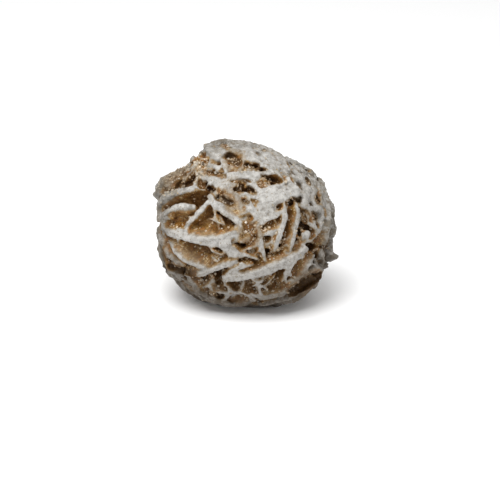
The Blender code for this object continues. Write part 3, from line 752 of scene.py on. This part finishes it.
def small_holes(mesh, points, frost, depths):
    """How far small holes in the wide crusted parts sink each point, in millimetres."""
    spots = KDTree(len(points))
    for k, point in enumerate(points):
        spots.insert(point, k)
    spots.balance()
    surface = surface_of(mesh)
    wide = spread_to_neighbours(mesh, frost, WIDE_CRUST_STEPS)

    def share(point, _):
        k = spots.find(point)[1]
        return float(wide[k] > WIDE_CRUST and depths[k] > HOLES_BELOW)

    sunk = np.zeros(len(points))
    for middle, _, rng in scatter(surface, HOLES, "holes", share):
        reach = rng.uniform(*HOLE_REACH)
        narrow = random_way(rng)
        for point, k, _ in spots.find_range(middle, HOLE_STRETCH * reach * MM):
            off = (point - middle) / MM
            away = (off + HOLE_STRETCH * off.dot(narrow) * narrow).length / HOLE_STRETCH
            away *= 1 + HOLE_RAGGED * noise.noise(point / (HOLE_RAGGED_SIZE * MM))
            fall = 1 - float(smoothstep(*HOLE_EDGE, away / reach))
            sunk[k] = max(sunk[k], HOLE_DEPTH * reach * fall)
    return sunk


def weather(obj, skin, flat):
    """Wears the skin and sinks its hollows, and notes how frosted each spot is, how much soil and
    painted shade it gets, and how open it is.
    """
    mesh = obj.data
    bm = bmesh.new()
    bm.from_mesh(mesh)
    every_way = {"use_axis_x": True, "use_axis_y": True, "use_axis_z": True}
    bmesh.ops.smooth_vert(bm, verts=bm.verts, factor=SMOOTHING, **every_way)
    bm.to_mesh(mesh)
    bm.free()
    points, normals = mesh_points(mesh), mesh_normals(mesh)
    depths = np.array([skin.depth(point) for point in points])
    frost = frosting(mesh, points, normals, depths, flat)
    sunk = small_holes(mesh, points, frost, depths)
    frost *= 1 - np.minimum(1, HOLE_BARES * sunk)
    hollow = hollowed(points)
    frost *= 1 - smoothstep(*HOLLOW_BARE, hollow)

    grainy = patch(points, GRAINY_PLACES, GRAINY_EDGE)
    shift = np.zeros(len(points))
    for wavelength, height, more, offset in WAVES:
        shift += height * (1 + more * grainy) * wave(points, wavelength, offset)
    shift = np.maximum(shift, -MOST_WORN * thickness(mesh, points, normals))
    moves = normals * shift[:, None] - outward_from_middle(points) * sunk[:, None]
    moves -= np.outer(hollow, FACE_OUT)
    moves *= smoothstep(*REST_FADES, points[:, 2] / MM)[:, None]
    moved = points + moves * MM
    mesh.vertices.foreach_set("co", moved.astype(np.float32).ravel())
    mesh.update()

    crest = frost * (1 - smoothstep(*CREST_DEPTHS, depths))
    # Painted shade dulls the crests at the limb and the back
    crest *= 1 - by_place(points, 0, LIMB_PAINTED_SHADE, BACK_PAINTED_SHADE)
    set_attribute(mesh, "frost", frost)
    set_attribute(mesh, "veil", spread_to_neighbours(mesh, frost, VEIL_STEPS))
    set_attribute(mesh, "crest", crest)
    # Painted shade in the long hollows, darker where they are deeper, goes in with the soil
    hollow_shade = np.minimum(HOLLOW_MOST_SHADE, HOLLOW_SHADE * hollow)
    set_attribute(mesh, "soil_and_shade", np.maximum(soil_and_painted_shade(points, crest), hollow_shade))
    opened = openness(mesh, mesh_points(mesh), mesh_normals(mesh))
    set_attribute(mesh, "open", spread_to_neighbours(mesh, opened, OPEN_STEPS))
    mesh.shade_smooth()


def add_grains(name, body, count, sizes, skin, blocky):
    """Loose-looking crystals that stick to the pockets' walls, thick where the rose is jumbled."""
    surface = surface_of(body.data)
    spots = KDTree(len(body.data.vertices))
    for vert in body.data.vertices:
        spots.insert(vert.co, vert.index)
    spots.balance()
    frost = body.data.attributes["frost"].data

    def share(point, _):
        spot = face_spot(point)
        if spot and within(spot, [place[:3] for place in GRAINY_PLACES]):
            return 1
        if frost[spots.find(point)[1]].value > FROSTED_FROM:
            return FROST_GRAIN_SHARE
        full = GRAIN_SHARE[0] + GRAIN_SHARE[1] * jumbled(point)
        return full * min(1.0, max(0.0, skin.depth(point)) / GRAIN_DEPTH)

    heap = Heap()
    for point, normal, rng in scatter(surface, count, name, share):
        heap.settle(BATCH)
        size = sizes[0] + (sizes[1] - sizes[0]) * rng.random() ** 2  # most are small
        place = Matrix.Translation(point) @ basis(normal, rng.uniform(0, 2 * math.pi))
        tilt = Matrix.Rotation(rng.uniform(0, GRAIN_TILT), 4, "X")
        width, height = size * between(rng, GRAIN_WIDTH), size * between(rng, GRAIN_HEIGHT)
        matrix = place @ tilt @ (Matrix.Diagonal((size, width, height, 1 / MM)) * MM)
        if blocky:
            bmesh.ops.create_cube(heap.batch, size=BLOCK_SIZE, matrix=matrix)
        else:
            bmesh.ops.create_icosphere(heap.batch, subdivisions=1, radius=1, matrix=matrix)
    heap.settle()
    grains = new_object(name, heap.whole)
    points = mesh_points(grains.data)
    # The grains get the rose's soil and painted shade, darker towards the resting face and in
    # listed places
    set_attribute(grains.data, "soil_and_shade", soil_and_painted_shade(points, np.zeros(len(points))))
    veil = body.data.attributes["veil"].data
    set_attribute(grains.data, "veil", np.array([veil[spots.find(p)[1]].value for p in points]))
    return grains


class Nodes:
    """A short way to write a material's nodes."""

    def __init__(self, name):
        self.material = bpy.data.materials.new(name)
        self.material.use_nodes = True
        self.tree = self.material.node_tree
        self.surface = self.tree.nodes["Principled BSDF"]
        self.place = self.add("ShaderNodeTexCoord").outputs["Object"]

    def add(self, kind, **settings):
        node = self.tree.nodes.new(kind)
        for key, value in settings.items():
            setattr(node, key, value)
        return node

    def link(self, source, target):
        self.tree.links.new(source, target)

    def attribute(self, name):
        return self.add("ShaderNodeAttribute", attribute_name=name).outputs["Fac"]

    def noise(self, size, detail=3.0, roughness=0.6):
        """Noise whose blotches are about this many millimetres across."""
        node = self.add("ShaderNodeTexNoise")
        node.inputs["Scale"].default_value = 1 / (size * MM)
        node.inputs["Detail"].default_value = detail
        node.inputs["Roughness"].default_value = roughness
        self.link(self.place, node.inputs["Vector"])
        return node.outputs["Fac"]

    def cells(self, size):
        """Cells about this many millimetres across, each with a value of its own."""
        node = self.add("ShaderNodeTexVoronoi")
        node.inputs["Scale"].default_value = 1 / (size * MM)
        self.link(self.place, node.inputs["Vector"])
        return node.outputs["Color"]

    def ramp(self, source, low, high):
        """0 below low and 1 above high, eased between them."""
        node = self.add("ShaderNodeMapRange", interpolation_type="SMOOTHSTEP")
        node.inputs["From Min"].default_value = low
        node.inputs["From Max"].default_value = high
        self.link(source, node.inputs["Value"])
        return node.outputs["Result"]

    def math(self, operation, a, b):
        node = self.add("ShaderNodeMath", operation=operation)
        for socket, value in zip(node.inputs, (a, b)):
            if isinstance(value, (int, float)):
                socket.default_value = value
            else:
                self.link(value, socket)
        return node.outputs["Value"]

    def mix(self, share, a, b):
        node = self.add("ShaderNodeMix", data_type="RGBA")
        self.link(share, node.inputs["Factor"])
        for socket, value in zip(("A", "B"), (a, b)):
            target = next(i for i in node.inputs if i.name == socket and i.type == "RGBA")
            if isinstance(value, tuple):
                target.default_value = (*value, 1)
            else:
                self.link(value, target)
        return next(o for o in node.outputs if o.type == "RGBA")

    def bump(self, height, strength, distance):
        node = self.add("ShaderNodeBump")
        node.inputs["Strength"].default_value = strength
        node.inputs["Distance"].default_value = distance * MM
        self.link(height, node.inputs["Height"])
        self.link(node.outputs["Normal"], self.surface.inputs["Normal"])


def srgb(red, green, blue):
    """A colour as a paint chart gives it, in the shader's linear light."""
    shares = (channel / 255 for channel in (red, green, blue))
    return tuple(((s + 0.055) / 1.055) ** 2.4 if s > 0.04045 else s / 12.92 for s in shares)


def gypsum():
    """Frost over the rims, and amber under it, with painted shade that darkens it into the pockets.
    """
    made = Nodes("frosted_gypsum")
    frost = made.attribute("frost")
    opened = made.attribute("open")
    crest = made.attribute("crest")

    patches = made.noise(3.4)
    speckle = made.noise(0.5, detail=2.0)
    streak = made.noise(1.2, detail=4.0, roughness=0.7)
    facets = made.cells(0.9)
    sparkle = made.cells(0.4)

    # Bare crystal: blotches, streaks, dark specks and facets, painted shade where the pockets are
    # less open, and painted glints
    amber = made.mix(made.ramp(patches, 0.36, 0.64), srgb(99, 65, 20), srgb(136, 100, 43))
    amber = made.mix(made.ramp(streak, 0.52, 0.72), amber, srgb(164, 132, 76))
    amber = made.mix(made.ramp(speckle, 0.50, 0.36), amber, srgb(78, 44, 14))
    amber = made.mix(made.ramp(facets, 0.62, 0.70), amber, srgb(130, 84, 30))
    # Painted shade: the amber darkens where a spot is less open, most in the least open spots
    dark = made.mix(made.ramp(streak, 0.40, 0.65), srgb(94, 62, 28), srgb(128, 92, 50))
    wall = made.mix(made.ramp(opened, 0.62, 0.28), amber, dark)
    wall = made.mix(made.ramp(opened, 0.20, 0.04), wall, srgb(84, 49, 22))
    # Painted glints: pale painted highlights in cells where the amber is open and lighter
    glint = made.math("MULTIPLY", made.ramp(sparkle, 0.70, 0.74), made.ramp(opened, 0.25, 0.6))
    glint = made.math("MULTIPLY", glint, made.ramp(patches, 0.52, 0.64))
    wall = made.mix(glint, wall, srgb(192, 168, 130))

    # The thin veil of frost next to the rims
    veil = made.attribute("veil")
    veiled = made.math("ADD", veil, made.math("MULTIPLY", patches, 0.3))
    cream = made.mix(made.ramp(streak, 0.35, 0.65), srgb(140, 116, 78), srgb(180, 160, 126))
    veiled = made.math("MULTIPLY", made.ramp(veiled, 0.28, 0.78), 0.66)
    wall = made.mix(veiled, wall, cream)

    # Frost: worn patches and specks, painted shade in its less open corners, bright crests and a
    # soiled edge
    white = made.mix(made.ramp(streak, 0.34, 0.66), srgb(116, 112, 105), srgb(166, 163, 157))
    white = made.mix(made.ramp(patches, 0.46, 0.64), white, srgb(112, 105, 92))
    white = made.mix(made.ramp(speckle, 0.57, 0.68), white, srgb(108, 94, 72))
    # Painted shade on the frost where it is less open
    white = made.mix(made.ramp(opened, 0.58, 0.28), white, srgb(92, 76, 56))
    bright = made.mix(made.ramp(streak, 0.30, 0.62), srgb(150, 147, 142), srgb(191, 189, 185))
    bright = made.mix(made.ramp(speckle, 0.60, 0.72), bright, srgb(132, 120, 100))
    white = made.mix(made.math("MULTIPLY", crest, 0.85), white, bright)
    edge = made.mix(made.ramp(streak, 0.34, 0.66), srgb(120, 108, 90), srgb(162, 154, 140))
    white = made.mix(made.ramp(veil, 0.72, 0.30), white, edge)

    # The frost's own edge is broken up by the streaks.
    breaking = made.math("MULTIPLY", made.math("SUBTRACT", streak, 0.5), 0.6)
    broken = made.math("ADD", frost, breaking)
    cover = made.ramp(broken, 0.20, 0.80)
    colour = made.mix(cover, wall, white)
    # Soil and painted shade: darker towards the resting face, in listed places and in the long
    # hollows
    colour = made.mix(made.attribute("soil_and_shade"), colour, srgb(60, 43, 24))
    made.link(colour, made.surface.inputs["Base Color"])

    made.surface.inputs["Specular IOR Level"].default_value = 0.3
    rough = made.math("ADD", made.math("MULTIPLY", cover, 0.40), 0.38)
    made.link(rough, made.surface.inputs["Roughness"])
    height = made.math("ADD", speckle, made.math("MULTIPLY", streak, 1.5))
    height = made.math("ADD", height, made.math("MULTIPLY", facets, 0.3))
    made.bump(height, 0.8, 0.3)
    return made.material


def crumb():
    made = Nodes("crumb_crystal")
    tint = made.noise(0.9, detail=2.0)
    patch = made.noise(2.5, detail=1.0)
    colour = made.mix(made.ramp(tint, 0.35, 0.6), srgb(136, 108, 74), srgb(194, 174, 146))
    colour = made.mix(made.ramp(patch, 0.50, 0.70), colour, srgb(202, 194, 180))
    colour = made.mix(made.ramp(made.attribute("veil"), 0.3, 0.8), colour, srgb(168, 158, 140))
    # Soil and painted shade: darker towards the resting face and in listed places on the face
    colour = made.mix(made.attribute("soil_and_shade"), colour, srgb(70, 60, 48))
    made.link(colour, made.surface.inputs["Base Color"])
    made.surface.inputs["Roughness"].default_value = 0.4
    made.bump(tint, 0.4, 0.1)
    return made.material


def sugar():
    made = Nodes("sugar_crystal")
    tint = made.noise(0.8, detail=1.0)
    colour = made.mix(made.ramp(tint, 0.35, 0.65), srgb(190, 164, 126), srgb(226, 210, 184))
    made.link(colour, made.surface.inputs["Base Color"])
    made.surface.inputs["Roughness"].default_value = 0.2
    made.bump(tint, 0.3, 0.05)
    return made.material


def pale(name, shade):
    material = bpy.data.materials.new(name)
    material.use_nodes = True
    surface = material.node_tree.nodes["Principled BSDF"]
    surface.inputs["Base Color"].default_value = (shade, shade, shade, 1)
    surface.inputs["Roughness"].default_value = 0.9
    return material


def studio():
    """A pale floor, soft light from above and all round, and the camera."""
    bm = bmesh.new()
    bmesh.ops.create_grid(bm, x_segments=1, y_segments=1, size=FLOOR_REACH)
    floor = new_object("floor", bm)
    floor.data.materials.append(pale("pale_floor", FLOOR_SHADE))

    world = bpy.data.worlds.new("studio")
    world.use_nodes = True
    sky = world.node_tree.nodes["Background"]
    sky.inputs["Color"].default_value = (1, 1, 1, 1)
    sky.inputs["Strength"].default_value = SKY_STRENGTH
    bpy.context.scene.world = world

    lamp = bpy.data.lights.new("softbox", "AREA")
    lamp.shape = "DISK"
    lamp.size = LAMP_SIZE
    lamp.energy = LAMP_WATTS
    softbox = bpy.data.objects.new("softbox", lamp)
    bpy.context.scene.collection.objects.link(softbox)
    softbox.location = MIDDLE + LAMP_OFF
    softbox.rotation_euler = (MIDDLE - softbox.location).to_track_quat("-Z", "Y").to_euler()

    lens = bpy.data.cameras.new("camera")
    lens.lens = LENS
    lens.sensor_width = SENSOR
    lens.clip_start = CLIP_START
    camera = bpy.data.objects.new("camera", lens)
    bpy.context.scene.collection.objects.link(camera)
    aim = MIDDLE + FACE_ACROSS * AIM_ACROSS * MM - FACE_UP * AIM_BELOW * MM
    width = VIEW_WIDTH * MM
    camera.location = aim + FACE_OUT * width * lens.lens / lens.sensor_width
    camera.rotation_euler = (-FACE_OUT).to_track_quat("-Z", "Y").to_euler()
    bpy.context.scene.camera = camera
    bpy.context.scene.view_settings.view_transform = "Standard"


def main():
    solid = merged_solid(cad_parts["desert_rose"])
    skin = Skin(solid)
    grow_plates(solid, skin)
    flat = BVHTree.FromBMesh(solid)
    rose = new_object("grown_plates", solid)
    grow_together(rose)
    weather(rose, skin, flat)
    rose.data.materials.append(gypsum())
    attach(rose, "root")
    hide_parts("desert_rose")

    crumbs = add_grains("crumbs", rose, CRUMBS, CRUMB_SIZE, skin, True)
    crumbs.data.materials.append(crumb())
    grains = add_grains("sugar_grains", rose, SUGAR_GRAINS, SUGAR_SIZE, skin, False)
    grains.data.materials.append(sugar())
    for piece in (crumbs, grains):
        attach(piece, "root")

    studio()


main()
